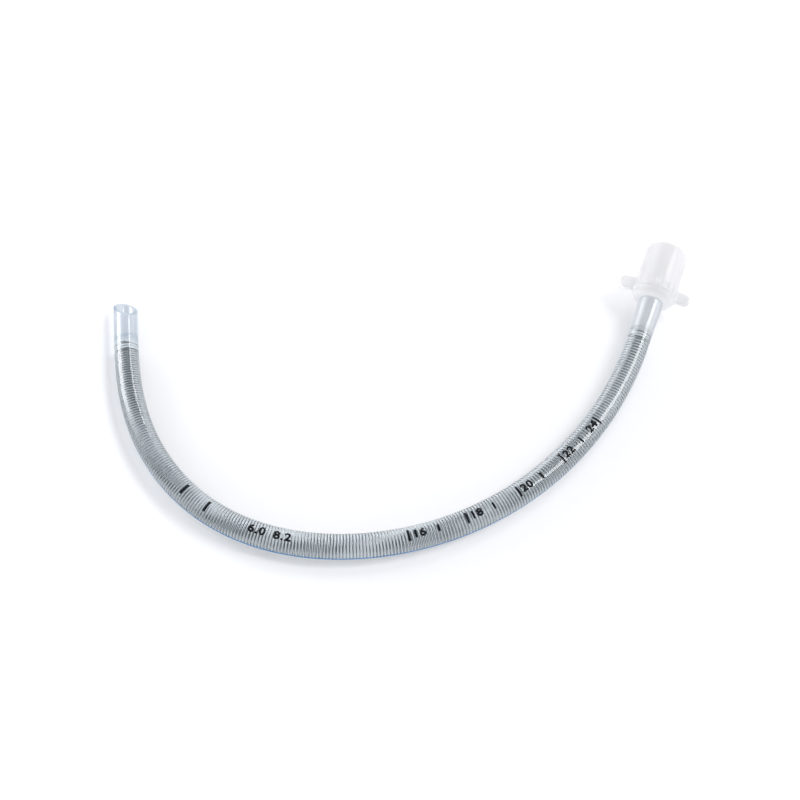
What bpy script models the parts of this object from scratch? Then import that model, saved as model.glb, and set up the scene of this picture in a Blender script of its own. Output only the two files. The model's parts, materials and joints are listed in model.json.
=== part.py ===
"""A wire reinforced endotracheal tube, lying on a table in a loose U with its 15 mm connector fitted.

Lengths are in millimetres and are turned into metres as each mesh is made. A section's own axes are
x = up, y = the outside of the bend and z = along the tube, with angles measured from x towards y. Each
layer of the wall is set out along a straight axis and then bent, with the same rings for every layer, so
the liner, the wire and the jacket stay clear of each other all round the bend."""

import bmesh
import bpy
import numpy as np
from mathutils import Matrix, Vector

MM = 0.001

# Route of the axis on the table: stations from the middle of the bevel, and the bend's radius at each
TUBE_LENGTH = 290.3
TIP_HEADING = -75.5
STRAIGHT_TIP = 8.0
FIRST_BEND_AT = 40.0
FIRST_BEND_RADIUS = 87.7
TIGHT_BEND_AT = 90.0
TIGHT_BEND_RADIUS = 58.8
MIDDLE_BEND_AT = 140.0
MIDDLE_BEND_RADIUS = 98.0
LAST_BEND_AT = 272.0
LAST_BEND_RADIUS = 161.3
STRAIGHTENING = 6.0
RISING_LENGTH = 32.0
RING_TURN = 7.0
RING_SPACING = 80.0
LEAST_SPACING = 2.0
BEFORE_TIP = 10.0

# Wall, from the bore outwards
BORE = 6.0
LINER_WALL = 0.15
WIRE = 0.30
JACKET_WALL = 0.265
LAYER_CLEARANCE = 0.014
LINER_SIDES = 10
PLAIN_SIDES = 15

# Wire coil
COIL_START = 16.0
COIL_TO_SPIGOT = 1.8
PITCH_AT_TIP = 0.95
PITCH_AT_MACHINE = 1.17
CLOSED_PITCH = 0.36
CLOSED_TURNS = 1.0
STEPS_PER_TURN = 7
POCKET_MARGIN = 0.2
LINER_END_GAP = 0.1

# Stripe on the outside of the bend
STRIPE_ANGLE = 100.0
STRIPE_WIDTH = 1.1
STRIPE_DEPTH = 0.14
GROOVE_FLARE = 0.1

# Patient's tip
BEVEL_ANGLE = 38.0
LIP_ANGLE = 166.0
RIM_ROUNDING = 0.3
LEAN_LENGTH = 12.0
LEAN_RINGS = 4
EYE_WIDTH = 2.7
EYE_LENGTH = 10.2
EYE_END = 10.1
EYE_CHAMFER = 0.2

# Connector, with stations measured from the tube's end towards the mouth
SEAT_GAP = 0.25
SPIGOT_LENGTH = 12.5
SPIGOT_END = 6.1
SPIGOT_ROOT = 6.8
SPIGOT_BORE = 5.1
SPIGOT_FIT = 0.03
COLLAR_FACE = 10.0
BELL_LENGTH = 2.75
BELL = 15.0
LEDGE = 15.8
LEDGE_THICKNESS = 0.95
CONE_LENGTH = 17.95
MOUTH = 15.0
CONE_TAPER = 1.0 / 40.0
MOUTH_WALL = 1.3
MOUTH_ROUNDING = 0.3
SOCKET_FLOOR = 1.9
FUNNEL_LENGTH = 2.4
CONNECTOR_SIDES = 30

WING_SPAN = 25.8
WING_LENGTH = 5.0
WING_THICKNESS = 2.2
WING_FROM_LEDGE = 0.45
WING_EDGE = 0.5
WING_TURN = 1.0

RIBS_PER_SIDE = 6
RIB_STEP = 20.6
RIB_WIDTH = 0.7
RIB_LENGTH = 2.6
RIB_FLAT = 1.6
RIB_HEIGHT = 0.35
SUNK = 0.5


def clearing(radius, half_step):
    """The corner radius of a polygon whose flats clear a circle of this radius."""
    return radius / np.cos(half_step)


# Radii that follow from the sizes above
BORE_RADIUS = BORE / 2
LINER_RADIUS = BORE_RADIUS + LINER_WALL
WIRE_RADIUS = WIRE / 2
COIL_RADIUS = clearing(LINER_RADIUS + LAYER_CLEARANCE + WIRE_RADIUS / 2, np.pi / STEPS_PER_TURN)
JACKET_HALF_STEP = np.pi / PLAIN_SIDES
POCKET_RADIUS = clearing(COIL_RADIUS + WIRE_RADIUS + LAYER_CLEARANCE, JACKET_HALF_STEP)
TUBE_RADIUS = POCKET_RADIUS + JACKET_WALL
TUBE_WALL = TUBE_RADIUS - BORE_RADIUS
SPIGOT_START = TUBE_LENGTH - SPIGOT_LENGTH
COIL_END = SPIGOT_START - COIL_TO_SPIGOT
POCKET_START = COIL_START - WIRE_RADIUS - POCKET_MARGIN
POCKET_END = COIL_END + WIRE_RADIUS + POCKET_MARGIN
BEVEL_REACH = 1 / np.tan(np.radians(BEVEL_ANGLE))
BELL_TOP = SEAT_GAP + BELL_LENGTH
LEDGE_TOP = BELL_TOP + LEDGE_THICKNESS
MOUTH_STATION = LEDGE_TOP + CONE_LENGTH


def end_slope():
    """The slope of the tube's end, which the ledge holds up by resting on the table."""
    slope = 0.0
    for _ in range(12):
        lifted = LEDGE / 2 * np.cos(slope) - BELL_TOP * np.sin(slope) - TUBE_RADIUS
        slope = np.arctan(lifted / (RISING_LENGTH / 2 + SPIGOT_LENGTH))
    return slope


END_SLOPE = end_slope()


def turn_rate(station):
    """How fast the axis turns, in radians per millimetre: not at all where the spigot keeps it straight."""
    places = (STRAIGHT_TIP, FIRST_BEND_AT, TIGHT_BEND_AT, MIDDLE_BEND_AT, LAST_BEND_AT)
    rates = (0, 1 / FIRST_BEND_RADIUS, 1 / TIGHT_BEND_RADIUS, 1 / MIDDLE_BEND_RADIUS, 1 / LAST_BEND_RADIUS)
    free = np.clip((SPIGOT_START - station) / STRAIGHTENING, 0, 1)
    return np.interp(station, places, rates) * free


def axis_frames(stations):
    """Origin, up, outward and forward directions of the section at each station of the axis."""
    fine = np.linspace(-BEFORE_TIP, TUBE_LENGTH, 6001)
    step = fine[1] - fine[0]
    turn = turn_rate(fine)
    heading = np.radians(TIP_HEADING) + np.cumsum(turn) * step - turn * step / 2
    path_x = np.cumsum(np.cos(heading)) * step
    path_y = np.cumsum(np.sin(heading)) * step
    rising = np.clip((stations - SPIGOT_START) / RISING_LENGTH + 1, 0, 1)
    straight = np.maximum(stations - SPIGOT_START, 0)
    steepness = np.tan(END_SLOPE)
    slope = np.arctan(steepness * rising)
    height = TUBE_RADIUS + steepness * (RISING_LENGTH * rising ** 2 / 2 + straight)
    angle = np.interp(stations, fine, heading)
    origin = np.stack([np.interp(stations, fine, path_x), np.interp(stations, fine, path_y), height], axis=-1)
    flat = np.stack([np.cos(angle), np.sin(angle), 0 * angle], axis=-1)
    outward = np.stack([np.sin(angle), -np.cos(angle), 0 * angle], axis=-1)
    forward = flat * np.cos(slope)[:, None] + np.sin(slope)[:, None] * np.array([0.0, 0.0, 1.0])
    up = np.cross(outward, forward)
    return origin, up, outward, forward


def ring_stations():
    """Stations of the rings: closer together where the axis turns, with the wall's steps among them."""
    fine = np.linspace(LEAN_LENGTH, TUBE_LENGTH, 2001)
    turn = np.degrees(turn_rate(fine))
    density = turn / RING_TURN + 1 / RING_SPACING
    rings = np.concatenate([[0], np.cumsum((density[1:] + density[:-1]) / 2 * np.diff(fine))])
    count = int(np.ceil(rings[-1]))
    spread = np.interp(np.linspace(0, rings[-1], count + 1), rings, fine)
    fixed = np.array([POCKET_START, POCKET_END, SPIGOT_START])
    clear = np.abs(spread[:, None] - fixed).min(axis=1) > LEAST_SPACING
    clear[[0, -1]] = True
    return np.unique(np.concatenate([spread[clear], fixed]))


RINGS = ring_stations()


def bent(points):
    """Section points (x, y, station) carried onto the bent axis, straight between one ring and the next."""
    knots = np.concatenate([[-BEFORE_TIP, 0.0], RINGS])
    origin, up, outward, _ = axis_frames(knots)
    station = points[:, 2]
    low = np.clip(np.searchsorted(knots, station, side="right") - 1, 0, len(knots) - 2)
    share = ((station - knots[low]) / (knots[low + 1] - knots[low]))[:, None]
    x = points[:, :1]
    y = points[:, 1:2]
    near = origin[low] + x * up[low] + y * outward[low]
    far = origin[low + 1] + x * up[low + 1] + y * outward[low + 1]
    return near * (1 - share) + far * share


def ring_points(radii, angles, stations):
    """Points of one or more rings from their radii, angles and stations, which broadcast together."""
    radii, angles, stations = np.broadcast_arrays(radii, angles, stations)
    return np.stack([radii * np.cos(angles), radii * np.sin(angles), stations], axis=-1).reshape(-1, 3)


def grid_faces(rows, columns, closed):
    """Quads between neighbouring rows of points; a closed grid joins its last row to its first."""
    row = np.arange(rows if closed else rows - 1)[:, None]
    column = np.arange(columns)[None, :]
    following = (row + 1) % rows
    beside = (column + 1) % columns
    quads = np.stack([row * columns + column, row * columns + beside,
                      following * columns + beside, following * columns + column], axis=-1)
    return quads.reshape(-1, 4).tolist()


def mesh_object(name, points, faces, material=None):
    """A mesh object with outward faces from points in millimetres."""
    mesh = bpy.data.meshes.new(name)
    mesh.from_pydata((np.asarray(points) * MM).tolist(), [], faces)
    work = bmesh.new()
    work.from_mesh(mesh)
    bmesh.ops.recalc_face_normals(work, faces=work.faces)
    work.to_mesh(mesh)
    work.free()
    mesh.shade_smooth()
    mesh.set_sharp_from_angle(angle=np.radians(32))
    made = bpy.data.objects.new(name, mesh)
    bpy.context.collection.objects.link(made)
    if material:
        mesh.materials.append(material)
    return made


def material(name, colour, roughness, metallic=0.0, transmission=0.0):
    made = bpy.data.materials.new(name)
    made.use_nodes = True
    shader = made.node_tree.nodes["Principled BSDF"]
    shader.inputs["Base Color"].default_value = (*colour, 1.0)
    shader.inputs["Roughness"].default_value = roughness
    shader.inputs["Metallic"].default_value = metallic
    shader.inputs["Transmission Weight"].default_value = transmission
    return made


def cutter(made):
    made.hide_render = True
    made.display_type = "WIRE"
    return made


def boolean(body, tool, operation):
    step = body.modifiers.new(tool.name, "BOOLEAN")
    step.operation = operation
    step.object = tool
    step.solver = "EXACT"


def stripe_edges():
    """Half angles of the groove at the jacket's surface and at its floor."""
    at_surface = STRIPE_WIDTH / 2 / TUBE_RADIUS
    at_floor = (STRIPE_WIDTH / 2 - GROOVE_FLARE) / TUBE_RADIUS
    return at_surface, at_floor


def jacket_angles():
    """The jacket's columns: four for the groove, then plain ones round the rest."""
    middle = np.radians(STRIPE_ANGLE)
    at_surface, at_floor = stripe_edges()
    plain = np.linspace(middle + at_surface, middle + 2 * np.pi - at_surface, PLAIN_SIDES + 1)
    groove = middle + np.array([-at_surface, -at_floor, at_floor])
    return np.concatenate([groove, plain[:-1]])


def spigot_radius(station):
    """Outer radius of the connector's spigot at a station of the tube."""
    share = (station - SPIGOT_START) / SPIGOT_LENGTH
    return (SPIGOT_END + (SPIGOT_ROOT - SPIGOT_END) * share) / 2


def bore_radius(station):
    """The jacket's bore outside the wire's pocket: plain, then stretched over the spigot."""
    stretched = clearing(spigot_radius(np.maximum(station, SPIGOT_START)) + SPIGOT_FIT, JACKET_HALF_STEP)
    share = np.clip((station - POCKET_END) / (SPIGOT_START - POCKET_END), 0, 1)
    return BORE_RADIUS + (stretched - BORE_RADIUS) * share


def tip_rows():
    """Outer rows of the tip: (radius, distance behind the leaning plane, axis station, share of lean)."""
    rows = [(TUBE_RADIUS - RIM_ROUNDING, 0.0, 0.0, 1.0),
            (TUBE_RADIUS - 0.3 * RIM_ROUNDING, 0.5 * RIM_ROUNDING, 0.0, 1.0),
            (TUBE_RADIUS, 1.5 * RIM_ROUNDING, 0.0, 1.0)]
    for n in range(1, LEAN_RINGS):
        share = n / LEAN_RINGS
        rows.append((TUBE_RADIUS, 0.0, LEAN_LENGTH * share, 1 - share ** 1.5))
    return rows


def leaning(radius, angles, behind, station, lean):
    """Stations round a ring that leans like the bevel by a share from 1, the bevel, to 0, square."""
    reach = BEVEL_REACH * radius * np.cos(angles - np.radians(LIP_ANGLE))
    return station + behind - lean * reach


def outer_rows(angles, depth):
    """The wall's outer surface from the rim to the tube's end, sunk by a depth in each column."""
    rows = []
    for radius, behind, station, lean in tip_rows():
        sunk = np.minimum(radius, TUBE_RADIUS - depth)
        rows.append(ring_points(sunk, angles, leaning(radius, angles, behind, station, lean)))
    for station in RINGS:
        radius = bore_radius(station) + TUBE_WALL
        rows.append(ring_points(radius - depth, angles, station))
    return rows


def inner_rows(angles):
    """The jacket's inner surface from the tube's end back to the rim, with the pocket for the wire."""
    rows = []
    for station in RINGS[::-1]:
        in_pocket = POCKET_START < station < POCKET_END
        radius = POCKET_RADIUS if in_pocket else bore_radius(station)
        if station == POCKET_START:
            rows.append(ring_points(POCKET_RADIUS, angles, station))
        rows.append(ring_points(radius, angles, station))
        if station == POCKET_END:
            rows.append(ring_points(POCKET_RADIUS, angles, station))
    for _, behind, station, lean in tip_rows()[:2:-1]:
        rows.append(ring_points(BORE_RADIUS, angles, leaning(BORE_RADIUS, angles, behind, station, lean)))
    edge = 0.6 * RIM_ROUNDING
    rows.append(ring_points(BORE_RADIUS, angles, leaning(BORE_RADIUS, angles, edge, 0.0, 1.0)))
    rows.append(ring_points(BORE_RADIUS + edge, angles, leaning(BORE_RADIUS + edge, angles, 0.0, 0.0, 1.0)))
    return rows


def stadium(length, width, corner_steps):
    """A slot's outline, length along y and width along x."""
    half = width / 2
    angles = np.linspace(0, np.pi, corner_steps + 1)
    one = np.stack([half * np.cos(angles), half * np.sin(angles) + length / 2 - half], axis=-1)
    return np.concatenate([one, -one])


def eye_cutter():
    """The side eye's cutter, through the wall on the side of the bevel's long lip, flared outwards."""
    levels = ((BORE_RADIUS - TUBE_WALL, 0.0), (TUBE_RADIUS - EYE_CHAMFER, 0.0),
              (TUBE_RADIUS + 2 * EYE_CHAMFER, 3 * EYE_CHAMFER))
    lip = np.radians(LIP_ANGLE)
    middle = EYE_END - EYE_LENGTH / 2
    rows = []
    for radius, flare in levels:
        outline = stadium(EYE_LENGTH + 2 * flare, EYE_WIDTH + 2 * flare, 6)
        x = radius * np.cos(lip) - outline[:, 0] * np.sin(lip)
        y = radius * np.sin(lip) + outline[:, 0] * np.cos(lip)
        rows.append(np.stack([x, y, middle + outline[:, 1]], axis=-1))
    count = len(rows[0])
    faces = grid_faces(len(rows), count, closed=False)
    faces.append(list(range(count)))
    faces.append(list(range((len(rows) - 1) * count, len(rows) * count)))
    return cutter(mesh_object("eye_cutter", bent(np.concatenate(rows)), faces))


def tube_jacket():
    """The clear outer wall in one piece: bevelled tip, wall over the wire, and machine end."""
    angles = jacket_angles()
    depth = np.zeros(len(angles))
    depth[1:3] = STRIPE_DEPTH
    rows = outer_rows(angles, depth) + inner_rows(angles)
    clear_vinyl = material("clear_vinyl", (0.80, 0.87, 0.92), 0.12, transmission=0.9)
    jacket = mesh_object("tube_jacket", bent(np.concatenate(rows)),
                         grid_faces(len(rows), len(angles), closed=True), clear_vinyl)
    boolean(jacket, eye_cutter(), "DIFFERENCE")
    return jacket


def radiopaque_stripe():
    """The blue line in the jacket's groove, level with the jacket's surface."""
    at_surface, at_floor = stripe_edges()
    slip = LAYER_CLEARANCE / TUBE_RADIUS
    middle = np.radians(STRIPE_ANGLE)
    angles = middle + np.array([slip - at_surface, slip - at_floor, at_floor - slip, at_surface - slip])
    floor = STRIPE_DEPTH - LAYER_CLEARANCE
    rows = outer_rows(angles, np.array([0.0, floor, floor, 0.0]))[1:]
    faces = grid_faces(len(rows), len(angles), closed=False)
    faces.append([0, 1, 2, 3])
    last = 4 * (len(rows) - 1)
    faces.append([last, last + 1, last + 2, last + 3])
    blue = material("blue_vinyl", (0.03, 0.16, 0.42), 0.3)
    return mesh_object("radiopaque_stripe", bent(np.concatenate(rows)), faces, blue)


def inner_liner():
    """The thin inner tube that the wire is wound on, between the pocket's two shoulders."""
    start = POCKET_START + LINER_END_GAP
    end = POCKET_END - LINER_END_GAP
    stations = np.concatenate([[start], RINGS[(RINGS > POCKET_START) & (RINGS < POCKET_END)], [end]])
    angles = np.arange(LINER_SIDES) * 2 * np.pi / LINER_SIDES
    rows = [ring_points(LINER_RADIUS, angles, s) for s in stations]
    rows += [ring_points(BORE_RADIUS, angles, s) for s in stations[::-1]]
    clear = material("clear_liner", (0.82, 0.88, 0.92), 0.15, transmission=0.9)
    faces = grid_faces(len(rows), LINER_SIDES, closed=True)
    return mesh_object("inner_liner", bent(np.concatenate(rows)), faces, clear)


def coil_turns():
    """Station of each step of the winding: its pitch grows along the tube, and its end turns are closed."""
    fine = np.linspace(COIL_START, COIL_END, 20001)
    share = (fine - COIL_START) / (COIL_END - COIL_START)
    pitch = PITCH_AT_TIP + (PITCH_AT_MACHINE - PITCH_AT_TIP) * share
    closed = CLOSED_TURNS * CLOSED_PITCH
    pitch[(fine < COIL_START + closed) | (fine > COIL_END - closed)] = CLOSED_PITCH
    turns = np.concatenate([[0], np.cumsum(np.diff(fine) * 2 / (pitch[1:] + pitch[:-1]))])
    steps = int(turns[-1] * STEPS_PER_TURN)
    counted = np.arange(steps + 1) / STEPS_PER_TURN
    return counted, np.interp(counted, turns, fine)


def reinforcing_coil():
    """The wire, as a winding of three sided section with one edge outwards."""
    turns, stations = coil_turns()
    around = (turns * 2 * np.pi)[:, None]
    corners = np.arange(3) * 2 * np.pi / 3
    radii = COIL_RADIUS + WIRE_RADIUS * np.cos(corners)
    along = stations[:, None] + WIRE_RADIUS * np.sin(corners)
    points = ring_points(radii, around, along)
    faces = grid_faces(len(turns), 3, closed=False)
    last = 3 * (len(turns) - 1)
    faces += [[0, 1, 2], [last, last + 1, last + 2]]
    steel = material("spring_steel", (0.55, 0.57, 0.60), 0.3, metallic=1.0)
    return mesh_object("reinforcing_coil", bent(points), faces, steel)


def turned(name, profile, made_of=None):
    """A profile of (radius, station) turned about z, with flat ends."""
    angles = np.arange(CONNECTOR_SIDES) * 2 * np.pi / CONNECTOR_SIDES
    rows = [ring_points(radius, angles, station) for radius, station in profile]
    faces = grid_faces(len(rows), CONNECTOR_SIDES, closed=False)
    last = CONNECTOR_SIDES * (len(rows) - 1)
    faces.append(list(range(CONNECTOR_SIDES)))
    faces.append(list(range(last, last + CONNECTOR_SIDES)))
    return mesh_object(name, np.concatenate(rows), faces, made_of)


def cone_radius(station):
    """Radius of the tapered cone, which has its named size at the mouth."""
    return MOUTH / 2 + (MOUTH_STATION - station) * CONE_TAPER / 2


def connector_outline():
    """Outer profile of the moulding, from the spigot's end to the mouth."""
    edge = MOUTH_ROUNDING
    rib_top = LEDGE_TOP + RIB_LENGTH + edge
    ledge_edge = (LEDGE - BELL) / 2
    bell = [(COLLAR_FACE / 2 + (BELL - COLLAR_FACE) / 2 * np.sin(a), SEAT_GAP + BELL_LENGTH * (1 - np.cos(a)))
            for a in np.radians([0, 20, 40, 60, 78])]
    return ([(SPIGOT_END / 2 - 0.6 * edge, -SPIGOT_LENGTH), (SPIGOT_END / 2, edge - SPIGOT_LENGTH),
             (SPIGOT_ROOT / 2, SEAT_GAP)]
            + bell
            + [(BELL / 2, BELL_TOP - 0.4 * ledge_edge), (LEDGE / 2, BELL_TOP), (LEDGE / 2, LEDGE_TOP - edge / 2),
               (LEDGE / 2 - edge / 2, LEDGE_TOP), (cone_radius(LEDGE_TOP), LEDGE_TOP),
               (cone_radius(rib_top), rib_top),
               (MOUTH / 2, MOUTH_STATION - edge), (MOUTH / 2 - 0.3 * edge, MOUTH_STATION - 0.3 * edge),
               (MOUTH / 2 - edge, MOUTH_STATION)])


def connector_bore():
    """The way through, from past the spigot's end to past the mouth."""
    socket = MOUTH / 2 - MOUTH_WALL
    edge = MOUTH_ROUNDING / 2
    passage = SPIGOT_BORE / 2
    profile = [(passage, -SPIGOT_LENGTH - SUNK), (passage, SOCKET_FLOOR)]
    for a in np.radians([30, 60, 90]):
        profile.append((passage + (socket - passage) * np.sin(a), SOCKET_FLOOR + FUNNEL_LENGTH * (1 - np.cos(a))))
    profile += [(socket, MOUTH_STATION - edge), (socket + edge, MOUTH_STATION), (socket + edge, MOUTH_STATION + SUNK)]
    return cutter(turned("bore_cutter", profile))


def wings():
    """The two finger wings, as one rounded bar through the moulding."""
    outline = stadium(WING_SPAN, WING_LENGTH, 6)
    station = BELL_TOP - WING_FROM_LEDGE + WING_LENGTH / 2
    levels = ((-WING_THICKNESS / 2, -WING_EDGE), (-WING_THICKNESS / 2 + 0.3 * WING_EDGE, -0.3 * WING_EDGE),
              (-WING_THICKNESS / 2 + WING_EDGE, 0.0), (WING_THICKNESS / 2 - WING_EDGE, 0.0),
              (WING_THICKNESS / 2 - 0.3 * WING_EDGE, -0.3 * WING_EDGE), (WING_THICKNESS / 2, -WING_EDGE))
    rows = []
    for height, inset in levels:
        span = stadium(WING_SPAN + 2 * inset, WING_LENGTH + 2 * inset, 6)
        rows.append(np.stack([np.full(len(outline), height), span[:, 1], station + span[:, 0]], axis=-1))
    points = np.concatenate(rows)
    turn = np.radians(WING_TURN)
    x = points[:, 0] * np.cos(turn) - points[:, 1] * np.sin(turn)
    y = points[:, 0] * np.sin(turn) + points[:, 1] * np.cos(turn)
    faces = grid_faces(len(rows), len(outline), closed=False)
    faces.append(list(range(len(outline))))
    faces.append(list(range(len(points) - len(outline), len(points))))
    return cutter(mesh_object("wing_form", np.stack([x, y, points[:, 2]], axis=-1), faces))


def rib(name, angle):
    """One small rib at the cone's foot, with a sloping top."""
    face = cone_radius(LEDGE_TOP)
    profile = [(face - SUNK, LEDGE_TOP - SUNK), (face + RIB_HEIGHT, LEDGE_TOP - SUNK),
               (face + RIB_HEIGHT, LEDGE_TOP + RIB_FLAT), (face - SUNK, LEDGE_TOP + RIB_LENGTH)]
    points = [(radius * np.cos(angle) - side * np.sin(angle), radius * np.sin(angle) + side * np.cos(angle), station)
              for side in (-RIB_WIDTH / 2, RIB_WIDTH / 2) for radius, station in profile]
    faces = grid_faces(2, 4, closed=False) + [[0, 1, 2, 3], [4, 5, 6, 7]]
    return cutter(mesh_object(name, points, faces))


def ribs():
    """Ribs above and below, evenly spaced between the wings."""
    made = []
    first = -(RIBS_PER_SIDE - 1) / 2 * RIB_STEP
    for side in (0, 180):
        for n in range(RIBS_PER_SIDE):
            angle = np.radians(side + first + n * RIB_STEP)
            made.append(rib(f"rib_form_{len(made) + 1:02d}", angle))
    return made


def connector():
    """The 15 mm connector: one moulding, placed on the tube's end and in line with it."""
    milky = material("milky_polypropylene", (0.80, 0.80, 0.86), 0.3, transmission=0.3)
    body = turned("connector", connector_outline(), milky)
    forms = [wings(), *ribs()]
    for form in forms:
        boolean(body, form, "UNION")
    bore = connector_bore()
    boolean(body, bore, "DIFFERENCE")
    origin, up, outward, forward = (v[0] for v in axis_frames(np.array([TUBE_LENGTH])))
    place = Matrix([[*row] for row in np.stack([up, outward, forward], axis=1)]).to_4x4()
    place.translation = Vector(origin * MM)
    for made in [body, bore, *forms]:
        made.matrix_world = place
    return body


def lowest_and_highest(objects):
    """The corners of the box that holds the evaluated objects."""
    bpy.context.view_layer.update()
    depsgraph = bpy.context.evaluated_depsgraph_get()
    corners = []
    for made in objects:
        shown = made.evaluated_get(depsgraph)
        points = np.empty(3 * len(shown.data.vertices))
        shown.data.vertices.foreach_get("co", points)
        matrix = np.array(shown.matrix_world)
        placed = points.reshape(-1, 3) @ matrix[:3, :3].T + matrix[:3, 3]
        corners += [placed.min(axis=0), placed.max(axis=0)]
    return np.min(corners, axis=0), np.max(corners, axis=0)


def stand_on_origin(nodes):
    """Moves everything so that the origin is under the middle of the footprint, on the table."""
    low, high = lowest_and_highest(nodes)
    shift = Vector((-(low[0] + high[0]) / 2, -(low[1] + high[1]) / 2, -low[2]))
    for made in bpy.context.collection.objects:
        made.matrix_world = Matrix.Translation(shift) @ made.matrix_world


def main():
    for old in list(bpy.data.objects):
        bpy.data.objects.remove(old, do_unlink=True)
    nodes = [inner_liner(), reinforcing_coil(), tube_jacket(), radiopaque_stripe(), connector()]
    stand_on_origin(nodes)


main()
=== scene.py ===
"""Looks of a wire reinforced endotracheal tube with its 15 mm connector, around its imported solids.

Lengths are in millimetres and turned into metres as each mesh is made. A section's own axes are x = up,
y = the outside of the bend and z = along the tube, with angles measured from x towards y. A station is a
length along the axis, from the middle of the bevel or, on the connector, from the tube's end."""

import json

import bmesh
import bpy
import numpy as np
from bpy.props import FloatProperty, FloatVectorProperty, IntProperty, PointerProperty
from mathutils import Matrix, Vector


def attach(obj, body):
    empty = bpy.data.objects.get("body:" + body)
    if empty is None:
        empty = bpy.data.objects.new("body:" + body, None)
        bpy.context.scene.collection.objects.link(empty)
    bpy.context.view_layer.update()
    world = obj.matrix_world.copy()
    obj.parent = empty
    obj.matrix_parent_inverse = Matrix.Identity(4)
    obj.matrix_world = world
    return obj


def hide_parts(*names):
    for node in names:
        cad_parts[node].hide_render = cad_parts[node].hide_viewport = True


bl_info = {
    "name": "Reinforced airway tube",
    "version": (1, 0, 0),
    "blender": (4, 5, 0),
    "location": "3D View > Sidebar > Airway tube",
    "description": "Dresses the solids of a wire reinforced tube in clear vinyl, steel and milky plastic",
    "category": "Object",
}

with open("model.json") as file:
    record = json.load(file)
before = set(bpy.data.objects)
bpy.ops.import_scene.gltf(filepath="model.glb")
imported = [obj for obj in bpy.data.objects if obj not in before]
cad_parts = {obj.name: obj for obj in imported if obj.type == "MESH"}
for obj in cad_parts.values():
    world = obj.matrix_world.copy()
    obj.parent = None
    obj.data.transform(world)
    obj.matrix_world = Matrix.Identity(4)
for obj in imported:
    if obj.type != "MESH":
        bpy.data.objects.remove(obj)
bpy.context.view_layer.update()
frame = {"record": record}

MM = 0.001

# Route of the axis on the table, the same as the solids'
TUBE_LENGTH = 290.3
TIP_HEADING = np.radians(-75.5)
BEND_STATIONS = (8.0, 40.0, 90.0, 140.0, 272.0)
BEND_RADII = (np.inf, 87.7, 58.8, 98.0, 161.3)
STRAIGHTENING = 6.0
RISING_LENGTH = 32.0
END_SLOPE = np.radians(6.770)
BEFORE_TIP = 10.0
ROUTE_STEPS = 6001

# Wall, with the steps of its mesh
BORE_RADIUS = 3.0
TUBE_RADIUS = 4.1
TUBE_WALL = TUBE_RADIUS - BORE_RADIUS
SPIGOT_GRIP = 0.02
WALL_COLUMNS = 72
RING_SPACING = 1.2
LAST_RING_CLEAR = 0.3

# Bevelled tip: where its rings lean, its rounded rim, and the length that has no wire
BEVEL_REACH = 1 / np.tan(np.radians(38.0))
LIP_ANGLE = np.radians(166.0)
LEAN_LENGTH = 12.0
LEAN_ROWS = 12
RIM_ROUNDING = 0.12
RIM_SETBACK = 1.4 * RIM_ROUNDING
RIM_STEPS = 6
# The next four set where the cut face is matt and painted darker as painted shade, and where the tip's painted
# shade fades in.
CUT_DEPTH = 0.06
CUT_WITHIN = 20.0
WIRED_FROM = 18.0
BARE_TO = 14.0

# Rounded corners of the machine end: (depth into the wall, distance from the end)
OUTER_CORNER = ((0.0, 0.15), (0.05, 0.04), (0.15, 0.0))
INNER_CORNER = ((0.12, 0.0), (0.03, 0.04), (0.0, 0.12))

# Side eye's flare from inside the bore to outside the wall: (radius, widening)
EYE_FLARE = ((1.9, 0.0), (3.0, 0.0), (3.8, 0.0), (3.95, 0.05), (4.05, 0.14), (4.12, 0.28), (4.4, 0.9))
EYE_END_STEPS = 17

# Wire
COIL_START = 16.0
COIL_END = 276.0
COIL_CLEAR = 0.35
CLOSED_LENGTH = 0.8
CLOSED_PITCH = 0.4
STEPS_PER_TURN = 24
WIRE_SIDES = 6

# Blue line
LINE_COLUMNS = 7
LINE_PROUD = 0.004
LINE_DEPTH = 0.16
LINE_EDGE_DEPTH = 0.01
LINE_FROM_RIM = 0.35
LINE_TO_END = 0.2
LINE_TIP_ROWS = 7

# Connector: radii, and stations from the tube's end towards the mouth
SPIGOT_LENGTH = 12.5
SPIGOT_START = TUBE_LENGTH - SPIGOT_LENGTH
SPIGOT_END_RADIUS = 3.05
SPIGOT_ROOT_RADIUS = 3.4
SPIGOT_ROUNDING = 0.2
COLLAR_RADIUS = 5.0
COLLAR_STATION = 0.25
BELL_RADIUS = 7.5
BELL_TOP = 3.0
LEDGE_RADIUS = 7.9
LEDGE_TOP = 3.95
LEDGE_ROUNDING = 0.3
CONE_FOOT_RADIUS = 7.724
MOUTH_RADIUS = 7.5
MOUTH_STATION = 21.9
MOUTH_ROUNDING = 0.6
MOUTH_INNER_ROUNDING = 0.2
RIM_MIDDLE = 6.775
SOCKET_RADIUS = 6.2
FUNNEL_TOP = 4.6
FUNNEL_DEPTH = 2.6
PASSAGE_RADIUS = 2.55

# Finger wings
WING_ROOT = 6.7
WING_STATION = 5.05
WING_FLARE_FROM = 9.0
WING_FLARE_RUN = 1.6
WING_FLARE_TALL = 0.35
WING_FLARE_THICK = 0.3
WING_SQUARENESS = 5
WING_COLUMNS = 32

# Ribs at the cone's foot: (station, height over the face) along the crown
RIB_PROFILE = ((3.7, 0.3), (3.75, 0.36), (5.2, 0.36), (5.7, 0.28), (6.2, 0.1), (6.6, -0.2))
RIB_ACROSS = (-1.0, -0.8, -0.45, 0.0, 0.45, 0.8, 1.0)
RIB_HALF_WIDTH = 0.38
RIB_EDGE_DROP = 0.25
RIB_FACE = 7.7
RIB_FLOOR = 7.2
RIBS_PER_SIDE = 6
RIB_TURN = np.radians(20.6)

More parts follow.
